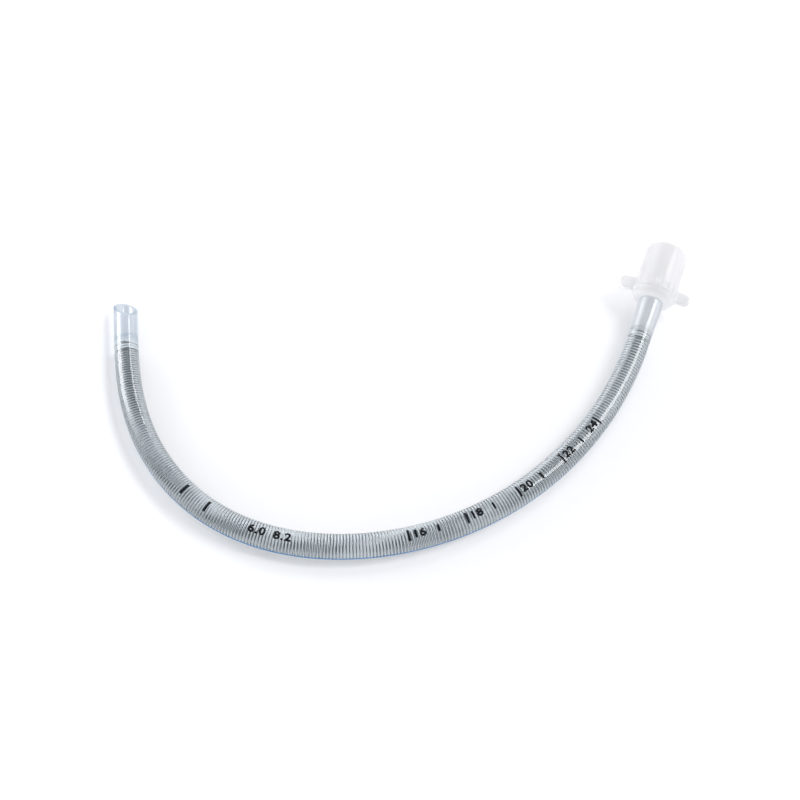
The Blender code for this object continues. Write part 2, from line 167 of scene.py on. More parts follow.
# Print: stations of the bars and numbers, and the sizes of the marks and of the ink
BAR_STATIONS = (77.7, 87.2)
BAR_LENGTH = 1.0
MARK_LENGTH = 0.8
LONG_MARK = 4.0
SHORT_MARK = 2.4
MARK_COLUMNS = 11
SIZE_NUMBERS = (("6.0", 102.7), ("8.2", 111.0))
SCALE = range(16, 25)
NUMBER_AFTER_MARK = 1.2
LAST_NUMBER = ("24", 228.4)
DIGIT_BOLDNESS = 0.04
DIGIT_SPACING = 1.12
DIGIT_STRETCH = 1.15
LONGEST_EDGE = 0.45
INK_GAP = 0.004
INK_FILM = 0.012

# Patterns of the materials, by the size of one patch
DRAW_WAVE = 3.85
STEEL_GRAIN = 1.11
PIGMENT_CLOUD = 2.5
MOULD_GRAIN = 0.667
INK_PATCH = 1.11

# Stage: the camera's aim from the middle of the bevel, and half the table's side in metres
AIM_FROM_TIP = (98.86, -17.10, -4.1)
TABLE_HALF = 1.5

SHARP_ANGLE = 35.0


def turn_rate(station):
    """How fast the axis turns, in radians per millimetre: not at all where the spigot keeps it straight."""
    free = np.clip((SPIGOT_START - station) / STRAIGHTENING, 0, 1)
    return np.interp(station, BEND_STATIONS, 1 / np.array(BEND_RADII)) * free


def route_frames(stations):
    """Origin, up, outward and forward at each station of the axis.

    The heading is the running sum of the turn rate, and the place on the table is the running sum of the
    heading's cosine and sine. The height grows with the square of the station before the spigot, and evenly
    past it."""
    stations = np.asarray(stations, float)
    fine = np.linspace(-BEFORE_TIP, TUBE_LENGTH, ROUTE_STEPS)
    step = fine[1] - fine[0]
    turn = turn_rate(fine)
    heading = TIP_HEADING + np.cumsum(turn) * step - turn * step / 2
    path_x = np.cumsum(np.cos(heading)) * step
    path_y = np.cumsum(np.sin(heading)) * step
    rising = np.clip((stations - SPIGOT_START) / RISING_LENGTH + 1, 0, 1)
    straight = np.maximum(stations - SPIGOT_START, 0)
    steepness = np.tan(END_SLOPE)
    slope = np.arctan(steepness * rising)
    height = TUBE_RADIUS + steepness * (RISING_LENGTH * rising ** 2 / 2 + straight)
    angle = np.interp(stations, fine, heading)
    origin = np.stack([np.interp(stations, fine, path_x), np.interp(stations, fine, path_y), height], axis=-1)
    flat = np.stack([np.cos(angle), np.sin(angle), 0 * angle], axis=-1)
    outward = np.stack([np.sin(angle), -np.cos(angle), 0 * angle], axis=-1)
    forward = flat * np.cos(slope)[..., None] + np.sin(slope)[..., None] * np.array([0.0, 0.0, 1.0])
    up = np.cross(outward, forward)
    return origin, up, outward, forward


def frame_shift():
    """From the route's own frame to the solids': the rim point of the mouth is a mount in the record."""
    mount = {m["name"]: m for m in frame["record"]["mounts"]}["cone_mouth"]
    origin, up, _, forward = (v[0] for v in route_frames([TUBE_LENGTH]))
    rim = origin + forward * MOUTH_STATION + up * RIM_MIDDLE
    return np.array(mount["pos_m"]) / MM - rim


SHIFT = frame_shift()


def bent(points):
    """Section points (x, y, station) carried onto the axis: origin(s) + x up(s) + y outward(s), in metres."""
    origin, up, outward, _ = route_frames(points[..., 2])
    return (origin + SHIFT + points[..., :1] * up + points[..., 1:2] * outward) * MM


def set_straight(points):
    """Points on the connector's straight axis: origin + x up + y outward + s forward, in metres."""
    origin, up, outward, forward = (v[0] for v in route_frames([TUBE_LENGTH]))
    across = points[..., :1] * up + points[..., 1:2] * outward
    return (origin + SHIFT + across + points[..., 2:] * forward) * MM


def ring(radius, angles, station):
    """Points (r cos a, r sin a, s), which broadcast together."""
    radius, angles, station = np.broadcast_arrays(radius, angles, station)
    return np.stack([radius * np.cos(angles), radius * np.sin(angles), station], axis=-1)


def grid_faces(rows, columns, closed_rows, start=0):
    """Quads of a grid that closes round its columns and, if asked, from its last row to its first."""
    row = np.arange(rows if closed_rows else rows - 1)[:, None]
    column = np.arange(columns)[None, :]
    following = (row + 1) % rows
    beside = (column + 1) % columns
    quads = np.stack([row * columns + column, row * columns + beside,
                      following * columns + beside, following * columns + column], axis=-1)
    return (quads.reshape(-1, 4) + start).tolist()


def capped_tube(points):
    """Faces of a (rows, columns) grid of points with a flat end at its first and last row."""
    rows, columns = points.shape[:2]
    faces = grid_faces(rows, columns, closed_rows=False)
    last = columns * (rows - 1)
    return faces + [list(range(columns)), list(range(last, last + columns))]


def new_piece(name, points, faces, material=None, sharp=SHARP_ANGLE):
    """A mesh object at the origin with outward faces, smooth but for edges over the angle in degrees."""
    mesh = bpy.data.meshes.new(name)
    mesh.from_pydata(points.reshape(-1, 3).tolist(), [], faces)
    mesh.validate()
    work = bmesh.new()
    work.from_mesh(mesh)
    bmesh.ops.recalc_face_normals(work, faces=work.faces)
    work.to_mesh(mesh)
    work.free()
    mesh.shade_smooth()
    mesh.set_sharp_from_angle(angle=np.radians(sharp))
    piece = bpy.data.objects.new(name, mesh)
    bpy.context.collection.objects.link(piece)
    if material:
        mesh.materials.append(material)
    return piece


def combined(piece, tool, operation):
    """The piece's mesh after an exact boolean with the tool, which is then deleted."""
    step = piece.modifiers.new(operation, "BOOLEAN")
    step.operation = operation
    step.object = tool
    step.solver = "EXACT"
    depsgraph = bpy.context.evaluated_depsgraph_get()
    made = bpy.data.meshes.new_from_object(piece.evaluated_get(depsgraph))
    piece.modifiers.remove(step)
    piece.data = made
    bpy.data.objects.remove(tool, do_unlink=True)
    made.shade_smooth()
    made.set_sharp_from_angle(angle=np.radians(SHARP_ANGLE))
    return piece


def dress(piece, slot, *nodes):
    """Rides the piece on the object's one body, in place of its solids. The slot is not used."""
    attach(piece, "root")
    if nodes:
        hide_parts(*nodes)
    return piece


def linear(code):
    """An sRGB hex value as linear red, green, blue and alpha."""
    value = np.array([int(code[i:i + 2], 16) for i in (1, 3, 5)]) / 255
    return (*np.where(value <= 0.04045, value / 12.92, ((value + 0.055) / 1.055) ** 2.4), 1.0)


def add_node(tree, kind, settings=None, links=None):
    """A node with its settings, by attribute or input name, and links from (node, output) to its inputs."""
    node = tree.nodes.new(kind)
    for name, value in (settings or {}).items():
        if isinstance(name, str) and hasattr(node, name):
            setattr(node, name, value)
        else:
            node.inputs[name].default_value = value
    for name, (source, output) in (links or {}).items():
        tree.links.new(source.outputs[output], node.inputs[name])
    return node


def empty_material(name):
    material = bpy.data.materials.new(name)
    material.use_nodes = True
    material.node_tree.nodes.clear()
    return material, material.node_tree


def tip_masks(tree, place):
    """Masks from Object coordinates, as (node, output): the bevel's cut face, and the tip that has no wire.

    The cut face is what lies in front of the bevel's plane and near the tip. The second mask fades in with
    nearness to the middle of the bevel. Both masks place painted shade in the wall's colour."""
    origin, up, outward, forward = (v[0] for v in route_frames([0.0]))
    middle = origin + SHIFT
    normal = BEVEL_REACH * (np.cos(LIP_ANGLE) * up + np.sin(LIP_ANGLE) * outward) + forward
    normal /= np.linalg.norm(normal)
    across = add_node(tree, "ShaderNodeVectorMath", {"operation": "DOT_PRODUCT", 1: tuple(normal)},
                      {0: (place, "Object")})
    plane = float(normal @ middle + CUT_DEPTH) * MM
    ahead = add_node(tree, "ShaderNodeMath", {"operation": "LESS_THAN", 1: plane}, {0: (across, "Value")})
    away = add_node(tree, "ShaderNodeVectorMath", {"operation": "DISTANCE", 1: tuple(middle * MM)},
                    {0: (place, "Object")})
    near = add_node(tree, "ShaderNodeMath", {"operation": "LESS_THAN", 1: CUT_WITHIN * MM},
                    {0: (away, "Value")})
    cut = add_node(tree, "ShaderNodeMath", {"operation": "MULTIPLY"},
                   {0: (ahead, "Value"), 1: (near, "Value")})
    bare = add_node(tree, "ShaderNodeMapRange",
                    {"interpolation_type": "SMOOTHSTEP", "From Min": WIRED_FROM * MM, "From Max": BARE_TO * MM},
                    {"Value": (away, "Value")})
    return (cut, "Value"), (bare, "Result")


def clear_vinyl(tint):
    """Plasticised PVC, extruded: clear, with a faint blue that deepens with the way through the wall, a wet
    gloss and faint draw waves. The tip, where there is no wire, is painted a deeper blue grey as painted shade,
    and its cut face is matt and painted a darker blue grey, also painted shade. Light on its way to the wire
    and the table, and what they mirror, passes straight through."""
    material, tree = empty_material("extruded_clear_vinyl")
    place = add_node(tree, "ShaderNodeTexCoord")
    cut, bare = tip_masks(tree, place)
    waves = add_node(tree, "ShaderNodeTexNoise", {"Scale": 1 / (DRAW_WAVE * MM), "Detail": 2.0},
                     {"Vector": (place, "Object")})
    bump = add_node(tree, "ShaderNodeBump", {"Strength": 0.05, "Distance": 0.2 * MM},
                    {"Height": (waves, "Fac")})
    gloss = add_node(tree, "ShaderNodeMapRange", {"To Min": 0.005, "To Max": 0.025}, {"Value": (waves, "Fac")})
    rough = add_node(tree, "ShaderNodeMix", {"B": 0.55}, {"Factor": cut, "A": (gloss, "Result")})
    # The tip's deeper blue grey, which fades in near the bevel, is painted shade.
    tip_painted_shade = add_node(tree, "ShaderNodeMix",
                      {"data_type": "RGBA", "A": linear("#FFFFFF"), "B": linear("#B9C0CB")}, {"Factor": bare})
    # The darker blue grey on the cut face is painted shade.
    shade = add_node(tree, "ShaderNodeMix", {"data_type": "RGBA", "B": linear("#A8B6C4")},
                     {"Factor": cut, "A": (tip_painted_shade, "Result")})
    body = add_node(tree, "ShaderNodeBsdfPrincipled", {"Transmission Weight": 1.0, "IOR": 1.53},
                    {"Base Color": (shade, "Result"), "Roughness": (rough, "Result"),
                     "Normal": (bump, "Normal")})
    open_way = add_node(tree, "ShaderNodeBsdfTransparent", {"Color": linear("#FFFFFF")})
    rays = add_node(tree, "ShaderNodeLightPath")
    lighting = add_node(tree, "ShaderNodeMath", {"operation": "MAXIMUM"},
                        {0: (rays, "Is Shadow Ray"), 1: (rays, "Is Diffuse Ray")})
    passing = add_node(tree, "ShaderNodeMath", {"operation": "MAXIMUM"},
                       {0: (lighting, "Value"), 1: (rays, "Is Glossy Ray")})
    mix = add_node(tree, "ShaderNodeMixShader", {},
                   {"Fac": (passing, "Value"), 1: (body, "BSDF"), 2: (open_way, "BSDF")})
    depth = add_node(tree, "ShaderNodeVolumeAbsorption", {"Color": tint, "Density": 150.0})
    add_node(tree, "ShaderNodeOutputMaterial", {}, {"Surface": (mix, "Shader"), "Volume": (depth, "Volume")})
    return material


def spring_steel():
    """Stainless spring wire, drawn: bright grey, its gloss soft and faintly uneven. The real draw lines are too
    fine to show, so the unevenness is coarser."""
    material, tree = empty_material("drawn_spring_steel")
    place = add_node(tree, "ShaderNodeTexCoord")
    grain = add_node(tree, "ShaderNodeTexNoise", {"Scale": 1 / (STEEL_GRAIN * MM), "Detail": 3.0},
                     {"Vector": (place, "Object")})
    rough = add_node(tree, "ShaderNodeMapRange", {"To Min": 0.3, "To Max": 0.42}, {"Value": (grain, "Fac")})
    body = add_node(tree, "ShaderNodeBsdfPrincipled", {"Base Color": linear("#B5B9BB"), "Metallic": 1.0},
                    {"Roughness": (rough, "Result")})
    add_node(tree, "ShaderNodeOutputMaterial", {}, {"Surface": (body, "BSDF")})
    return material


def blue_vinyl():
    """PVC filled with barium sulphate and blue pigment, extruded with the wall: satin, faintly cloudy, and it
    lets some light through."""
    material, tree = empty_material("blue_filled_vinyl")
    place = add_node(tree, "ShaderNodeTexCoord")
    cloud = add_node(tree, "ShaderNodeTexNoise", {"Scale": 1 / (PIGMENT_CLOUD * MM), "Detail": 2.0},
                     {"Vector": (place, "Object")})
    colour = add_node(tree, "ShaderNodeMix",
                      {"data_type": "RGBA", "A": linear("#2786C4"), "B": linear("#4FA6DC")},
                      {"Factor": (cloud, "Fac")})
    body = add_node(tree, "ShaderNodeBsdfPrincipled", {"Roughness": 0.3}, {"Base Color": (colour, "Result")})
    through = add_node(tree, "ShaderNodeBsdfTranslucent", {}, {"Color": (colour, "Result")})
    mix = add_node(tree, "ShaderNodeMixShader", {"Fac": 0.45}, {1: (body, "BSDF"), 2: (through, "BSDF")})
    add_node(tree, "ShaderNodeOutputMaterial", {}, {"Surface": (mix, "Shader")})
    return material


def milky_polypropylene(colour):
    """Natural polypropylene, injection moulded: cloudy, so light spreads through it and its shadow is pale, and
    satin with a fine mould texture, drawn coarser than it is so that it shows."""
    material, tree = empty_material("natural_polypropylene")
    place = add_node(tree, "ShaderNodeTexCoord")
    grain = add_node(tree, "ShaderNodeTexNoise", {"Scale": 1 / (MOULD_GRAIN * MM), "Detail": 3.0},
                     {"Vector": (place, "Object")})
    bump = add_node(tree, "ShaderNodeBump", {"Strength": 0.03, "Distance": 0.1 * MM},
                    {"Height": (grain, "Fac")})
    rough = add_node(tree, "ShaderNodeMapRange", {"To Min": 0.14, "To Max": 0.24}, {"Value": (grain, "Fac")})
    body = add_node(tree, "ShaderNodeBsdfPrincipled", {"Base Color": colour, "IOR": 1.49},
                    {"Roughness": (rough, "Result"), "Normal": (bump, "Normal")})
    through = add_node(tree, "ShaderNodeBsdfTranslucent", {"Color": colour})
    cloudy = add_node(tree, "ShaderNodeMixShader", {"Fac": 0.45}, {1: (body, "BSDF"), 2: (through, "BSDF")})
    rays = add_node(tree, "ShaderNodeLightPath")
    share = add_node(tree, "ShaderNodeMath", {"operation": "MULTIPLY", 1: 0.7}, {0: (rays, "Is Shadow Ray")})
    open_way = add_node(tree, "ShaderNodeBsdfTransparent")
    mix = add_node(tree, "ShaderNodeMixShader", {},
                   {"Fac": (share, "Value"), 1: (cloudy, "Shader"), 2: (open_way, "BSDF")})
    add_node(tree, "ShaderNodeOutputMaterial", {}, {"Surface": (mix, "Shader")})
    return material


def printing_ink():
    """Pad printed black ink: matt, very slightly uneven."""
    material, tree = empty_material("pad_printed_ink")
    place = add_node(tree, "ShaderNodeTexCoord")
    cover = add_node(tree, "ShaderNodeTexNoise", {"Scale": 1 / (INK_PATCH * MM), "Detail": 2.0},
                     {"Vector": (place, "Object")})
    colour = add_node(tree, "ShaderNodeMix",
                      {"data_type": "RGBA", "A": linear("#06080C"), "B": linear("#10161E")},
                      {"Factor": (cover, "Fac")})
    body = add_node(tree, "ShaderNodeBsdfPrincipled", {"Roughness": 0.6, "Specular IOR Level": 0.15},
                    {"Base Color": (colour, "Result")})
    add_node(tree, "ShaderNodeOutputMaterial", {}, {"Surface": (body, "BSDF")})
    return material


def white_table(lift, lift_through):
    """White laminate, matt: what the lamps give it, plus a share of white where the camera or a gloss sees it,
    so that it is plain white where it is lit and keeps its shadows, and more of it through the clear wall."""
    material, tree = empty_material("white_laminate")
    rays = add_node(tree, "ShaderNodeLightPath")
    seen = add_node(tree, "ShaderNodeMath", {"operation": "MAXIMUM"},
                    {0: (rays, "Is Camera Ray"), 1: (rays, "Is Glossy Ray")})
    shown = add_node(tree, "ShaderNodeMath", {"operation": "MAXIMUM"},
                     {0: (seen, "Value"), 1: (rays, "Is Transmission Ray")})
    white = add_node(tree, "ShaderNodeMath", {"operation": "MULTIPLY_ADD", 1: lift_through, 2: lift},
                     {0: (rays, "Is Transmission Ray")})
    share = add_node(tree, "ShaderNodeMath", {"operation": "MULTIPLY"},
                     {0: (shown, "Value"), 1: (white, "Value")})
    body = add_node(tree, "ShaderNodeBsdfPrincipled",
                    {"Base Color": linear("#F6F6F8"), "Roughness": 0.8, "Specular IOR Level": 0.1,
                     "Emission Color": linear("#FFFFFF")}, {"Emission Strength": (share, "Value")})
    add_node(tree, "ShaderNodeOutputMaterial", {}, {"Surface": (body, "BSDF")})
    return material


def white_room(sizes):
    """A plain white room: even light on what is matt, and, in what is glossy or clear, a dark ceiling over
    three bright walls that fade in with the dot product of the ray and each wall's direction."""
    world = bpy.data.worlds.new("room")
    world.use_nodes = True
    tree = world.node_tree
    tree.nodes.clear()
    rays = add_node(tree, "ShaderNodeLightPath")
    place = add_node(tree, "ShaderNodeTexCoord")
    walls = []
    for toward, full in (((-0.85, 0.53, 0.0), sizes.left_wall), ((0.85, 0.53, 0.0), sizes.right_wall),
                         ((0.0, 1.0, 0.0), sizes.back_wall)):
        facing = add_node(tree, "ShaderNodeVectorMath", {"operation": "DOT_PRODUCT", 1: toward},
                          {0: (place, "Generated")})
        walls.append(add_node(tree, "ShaderNodeMapRange",
                              {"interpolation_type": "SMOOTHSTEP", "From Min": 0.6, "From Max": 0.9,
                               "To Min": sizes.dark, "To Max": full}, {"Value": (facing, "Value")}))
    sides = add_node(tree, "ShaderNodeMath", {"operation": "MAXIMUM"},
                     {0: (walls[0], "Result"), 1: (walls[1], "Result")})
    around = add_node(tree, "ShaderNodeMath", {"operation": "MAXIMUM"},
                      {0: (sides, "Value"), 1: (walls[2], "Result")})
    shown = add_node(tree, "ShaderNodeMath", {"operation": "MAXIMUM"},
                     {0: (rays, "Is Glossy Ray"), 1: (rays, "Is Transmission Ray")})
    strength = add_node(tree, "ShaderNodeMapRange", {"To Min": sizes.room},
                        {"Value": (shown, "Value"), "To Max": (around, "Value")})
    sky = add_node(tree, "ShaderNodeBackground", {"Color": linear("#F8F8FA")},
                   {"Strength": (strength, "Result")})
    add_node(tree, "ShaderNodeOutputWorld", {}, {"Surface": (sky, "Background")})
    return world


def spigot_radius(station):
    """Radius of the spigot inside the tube, which tapers evenly from its root to its end."""
    share = (station - SPIGOT_START) / SPIGOT_LENGTH
    return SPIGOT_END_RADIUS + (SPIGOT_ROOT_RADIUS - SPIGOT_END_RADIUS) * share


def bore_radius(station):
    """The tube's bore: even to the coil's end, then changing evenly to the spigot's radius less the grip."""
    stretched = spigot_radius(np.maximum(station, SPIGOT_START)) - SPIGOT_GRIP
    share = np.clip((station - COIL_END - COIL_CLEAR) / (SPIGOT_START - COIL_END - COIL_CLEAR), 0, 1)
    return BORE_RADIUS + (stretched - BORE_RADIUS) * share


def leaning(radius, angles, station, lean):
    """Stations of a ring that leans like the bevel by a share: s - lean r cos(a - lip) / tan(bevel)."""
    return station - lean * BEVEL_REACH * radius * np.cos(angles - LIP_ANGLE)


def tip_ring(radius, angles, station):
    """A ring of the tip, whose share of lean is 1 - (s / lean length) to the power 1.5."""
    share = station / LEAN_LENGTH
    behind = station + RIM_SETBACK * (1 - share)
    return ring(radius, angles, leaning(radius, angles, behind, 1 - share ** 1.5))


def rim_profile():
    """The rim's two corners as (radius, distance behind the bevel's plane), from outside to inside: the radius
    moves in by the rounding times 1 - sin t, and the distance is the setback times 1 - cos t."""
    turn = np.linspace(np.pi / 2, 0, RIM_STEPS)
    outer = TUBE_RADIUS - RIM_ROUNDING * (1 - np.sin(turn))
    inner = BORE_RADIUS + RIM_ROUNDING * (1 - np.sin(turn))
    behind = RIM_SETBACK * (1 - np.cos(turn))
    return np.concatenate([outer, inner[::-1]]), np.concatenate([behind, behind[::-1]])


def wall_rows():
    """The whole wall as rings of one closed profile: leaning rings of the tip, square rings at the bore's
    radius plus the wall, the machine end's two corners, the bore back to the tip, and the rounded rim."""
    angles = np.arange(WALL_COLUMNS) * 2 * np.pi / WALL_COLUMNS
    tip = np.linspace(0.0, LEAN_LENGTH, LEAN_ROWS)[1:-1]
    square = np.arange(LEAN_LENGTH, TUBE_LENGTH - LAST_RING_CLEAR, RING_SPACING)
    end = bore_radius(TUBE_LENGTH)
    rim_radius, behind = rim_profile()
    rows = [tip_ring(TUBE_RADIUS, angles, s) for s in tip]
    rows += [ring(bore_radius(s) + TUBE_WALL, angles, s) for s in square]
    rows += [ring(end + TUBE_WALL - depth, angles, TUBE_LENGTH - back) for depth, back in OUTER_CORNER]
    rows += [ring(end + depth, angles, TUBE_LENGTH - back) for depth, back in INNER_CORNER]
    rows += [ring(bore_radius(s), angles, s) for s in square[::-1]]
    rows += [tip_ring(BORE_RADIUS, angles, s) for s in tip[::-1]]
    rows += [ring(r, angles, leaning(r, angles, s, 1.0)) for r, s in zip(rim_radius[::-1], behind[::-1])]
    return np.stack(rows)


def eye_tool(width, length, end):
    """The side eye's cutter, on the long lip's side: a slot with half round ends, moved out along its own
    directions from the middle as the radius grows, and turned to the lip's angle."""
    half = width / 2
    turn = np.linspace(0, np.pi, EYE_END_STEPS)
    one = np.stack([half * np.cos(turn), half * np.sin(turn) + length / 2 - half], axis=-1)
    outline = np.concatenate([one, -one])
    outward = outline / np.linalg.norm(outline, axis=1)[:, None]
    rows = []
    for radius, flare in EYE_FLARE:
        slot = outline + flare * outward
        x = radius * np.cos(LIP_ANGLE) - slot[:, 0] * np.sin(LIP_ANGLE)
        y = radius * np.sin(LIP_ANGLE) + slot[:, 0] * np.cos(LIP_ANGLE)
        rows.append(np.stack([x, y, end - length / 2 + slot[:, 1]], axis=-1))
    points = np.stack(rows)
    return new_piece("eye_tool", bent(points), capped_tube(points))


def pitch_at(stations, tip_pitch, machine_pitch):
    """The winding's pitch: even growth along the tube, with its first and last turn closed."""
    share = (stations - COIL_START) / (COIL_END - COIL_START)
    pitch = tip_pitch + (machine_pitch - tip_pitch) * share
    closed = (stations < COIL_START + CLOSED_LENGTH) | (stations > COIL_END - CLOSED_LENGTH)
    return np.where(closed, CLOSED_PITCH, pitch)


def coil_points(wire, radius, tip_pitch, machine_pitch):
    """A round wire on a helix: the turns at a station are the running sum of 1 / pitch, and the wire's circle
    stands across the winding, with r = coil + wire / 2 cos a and s + wire / 2 sin a."""
    fine = np.linspace(COIL_START, COIL_END, 40001)
    pitch = pitch_at(fine, tip_pitch, machine_pitch)
    turns = np.concatenate([[0], np.cumsum(np.diff(fine) * 2 / (pitch[1:] + pitch[:-1]))])
    counted = np.arange(int(turns[-1] * STEPS_PER_TURN) + 1) / STEPS_PER_TURN
    station = np.interp(counted, turns, fine)[:, None]
    corner = np.arange(WIRE_SIDES) * 2 * np.pi / WIRE_SIDES
    return ring(radius + wire / 2 * np.cos(corner), counted[:, None] * 2 * np.pi,
                station + wire / 2 * np.sin(corner))


def line_points(width, middle):
    """The blue line: its outer face stands a hair proud of the wall, and its floor is half an ellipse, depth
    times the root of 1 - (y / half width) squared. Its first rows lean with the rim and then straighten."""
    half = width / 2 / TUBE_RADIUS
    across = np.concatenate([np.linspace(-half, half, LINE_COLUMNS), np.linspace(half, -half, LINE_COLUMNS)])
    floor = LINE_DEPTH * np.sqrt(1 - np.linspace(0.98, -0.98, LINE_COLUMNS) ** 2) + LINE_EDGE_DEPTH
    inset = np.concatenate([np.full(LINE_COLUMNS, -LINE_PROUD), floor])
    angles = middle + across
    rim = leaning(TUBE_RADIUS, angles, 0.0, 1.0) + LINE_FROM_RIM
    stations = [rim + (LEAN_LENGTH - rim) * n / LINE_TIP_ROWS for n in range(LINE_TIP_ROWS)]
    stations += list(np.arange(LEAN_LENGTH, TUBE_LENGTH - LINE_TO_END, RING_SPACING))
    return np.stack([ring(bore_radius(s) + TUBE_WALL - inset, angles, s) for s in stations])


def arc(centre, radii, start, end, steps):
    """(radius, station) points of an elliptic arc between two angles in degrees."""
    turn = np.radians(np.linspace(start, end, steps))
    return [(centre[0] + radii[0] * np.cos(t), centre[1] + radii[1] * np.sin(t)) for t in turn]


def rounding(radius, station, size, start, end, steps):
    """A round corner of one size about (radius, station)."""
    return arc((radius, station), (size, size), start, end, steps)


def connector_profile():
    """The moulding's closed section as (radius, station), in straight runs and elliptic arcs."""
    bell = (BELL_RADIUS - COLLAR_RADIUS, BELL_TOP - COLLAR_STATION)
    size = SPIGOT_ROUNDING
    spigot = ([(2.62, -SPIGOT_LENGTH)]
              + rounding(SPIGOT_END_RADIUS - size, size - SPIGOT_LENGTH, size, -90, 0, 5)
              + [(3.2, -7.0), (SPIGOT_ROOT_RADIUS - 0.005, COLLAR_STATION - size)]
              + rounding(SPIGOT_ROOT_RADIUS + size, COLLAR_STATION - size, size, 180, 90, 4))
    collar = [(COLLAR_RADIUS - 0.2, COLLAR_STATION)] + arc((COLLAR_RADIUS, BELL_TOP), bell, -90, -8, 12)
    ledge = (arc((LEDGE_RADIUS - 0.28, BELL_TOP + 0.1), (0.28, 0.25), -90, 0, 5)[1:]
             + rounding(LEDGE_RADIUS - LEDGE_ROUNDING, LEDGE_TOP - LEDGE_ROUNDING, LEDGE_ROUNDING, 0, 90, 5))
    cone = [(CONE_FOOT_RADIUS + 0.05, LEDGE_TOP + 0.02), (CONE_FOOT_RADIUS, LEDGE_TOP + 0.15),
            (7.69, 7.0), (7.62, 12.0), (7.55, 17.0)]
    mouth = (rounding(MOUTH_RADIUS - MOUTH_ROUNDING, MOUTH_STATION - MOUTH_ROUNDING, MOUTH_ROUNDING, 0, 90, 9)
             + rounding(SOCKET_RADIUS + MOUTH_INNER_ROUNDING, MOUTH_STATION - MOUTH_INNER_ROUNDING,
                        MOUTH_INNER_ROUNDING, 90, 180, 5))
    socket = [(6.19, 17.0), (6.17, 10.0), (6.15, 6.0)]
    funnel = arc((2.6, FUNNEL_TOP), (3.55, FUNNEL_DEPTH), 0, -80, 10)
    passage = ([(2.58, 1.5), (PASSAGE_RADIUS, -5.0)]
               + arc((PASSAGE_RADIUS, 0.1 - SPIGOT_LENGTH), (0.0, 0.1), 0, -90, 2))
    return spigot + collar + ledge + cone + mouth + socket + funnel + passage


def wing(side, reach, length, thickness):
    """One wing: a rounded tab along y whose section is a superellipse, x = thick cos t and z = tall sin t,
    each raised to 2 / squareness. It narrows as half a circle at its end, and flares at its root with the
    square of the nearness to the bell."""
    half = length / 2
    centre = reach - half
    straight = np.linspace(WING_ROOT, centre, 9)[:-1]
    round_end = centre + half * np.sin(np.linspace(0, np.pi / 2, 15)[:-1])
    run = np.concatenate([straight, round_end])
    end = np.clip((run - centre) / half, 0, 1)
    root = np.clip((WING_FLARE_FROM - run) / WING_FLARE_RUN, 0, 1) ** 2
    tall = half * np.sqrt(1 - end ** 2) + WING_FLARE_TALL * root
    thick = thickness / 2 * (1 - end ** 6) ** (1 / 4) + WING_FLARE_THICK * root
    around = np.linspace(0, 2 * np.pi, WING_COLUMNS + 1)[:-1]
    power = 2 / WING_SQUARENESS
    c, s = np.cos(around), np.sin(around)
    x = thick[:, None] * np.sign(c) * np.abs(c) ** power
    z = tall[:, None] * np.sign(s) * np.abs(s) ** power + WING_STATION
    y = side * np.broadcast_to(run[:, None], x.shape)
    return np.stack([x, y, z], axis=-1)


def rib(angle):
    """One rib at the cone's foot: its height over the face is the profile's times a crown across it, which is
    1 - (y / half width) squared to the power 0.3, so its top is rounded and slopes into the cone."""
    station, height = np.array(RIB_PROFILE).T
    across = np.array(RIB_ACROSS) * RIB_HALF_WIDTH
    crown = np.sqrt(np.clip(1 - (across / RIB_HALF_WIDTH) ** 2, 0, 1)) ** 0.6
    top = RIB_FACE + height[:, None] * crown - RIB_EDGE_DROP * (1 - crown)
    radius = np.concatenate([top, np.full((len(station), 2), RIB_FLOOR)], axis=1)
    sideways = np.concatenate([across, [RIB_HALF_WIDTH, -RIB_HALF_WIDTH]])
    x = radius * np.cos(angle) - sideways * np.sin(angle)
    y = radius * np.sin(angle) + sideways * np.cos(angle)
    return np.stack([x, y, np.broadcast_to(station[:, None], x.shape)], axis=-1)


def flat_text(words, size):
    """A word as a flat mesh in millimetres, with its long edges halved until it can be laid round the tube."""
    curve = bpy.data.curves.new(words, "FONT")
    curve.body = words
    curve.size = size
    curve.align_x = "LEFT"
    curve.align_y = "CENTER"
    curve.resolution_u = 4
    curve.offset = DIGIT_BOLDNESS * size
    curve.space_character = DIGIT_SPACING
    holder = bpy.data.objects.new(words, curve)
    bpy.context.collection.objects.link(holder)
    mesh = bpy.data.meshes.new_from_object(holder.evaluated_get(bpy.context.evaluated_depsgraph_get()))
    work = bmesh.new()
    work.from_mesh(mesh)
    bmesh.ops.remove_doubles(work, verts=work.verts, dist=0.02)
    bmesh.ops.dissolve_degenerate(work, edges=work.edges, dist=0.01)
    for _ in range(5):
        long = [e for e in work.edges if e.calc_length() > LONGEST_EDGE]
        if not long:
            break
        bmesh.ops.subdivide_edges(work, edges=long, cuts=1)
        bmesh.ops.triangulate(work, faces=work.faces)
    points = np.array([v.co[:2] for v in work.verts]) * (DIGIT_STRETCH, 1.0)
    faces = [[v.index for v in f.verts] for f in work.faces]
    work.free()
    bpy.data.objects.remove(holder, do_unlink=True)
    return points, faces


def mark(start, length, width):
    """A plain mark as a flat grid in millimetres, length along the tube and width across."""
    along, across = np.meshgrid(np.linspace(0, length, 2), np.linspace(-width / 2, width / 2, MARK_COLUMNS),
                                indexing="ij")
    points = np.stack([start + along, across], axis=-1).reshape(-1, 2)
    faces = [[i, i + MARK_COLUMNS, i + MARK_COLUMNS + 1, i + 1] for i in range(MARK_COLUMNS - 1)]
    return points, faces


def joined(parts):
    """Points and faces of several (points, faces) as one."""
    points, faces = [], []
    for own_points, own_faces in parts:
        start = sum(len(p) for p in points)
        faces += [[i + start for i in face] for face in own_faces]
        points.append(own_points)
    return np.concatenate(points), faces


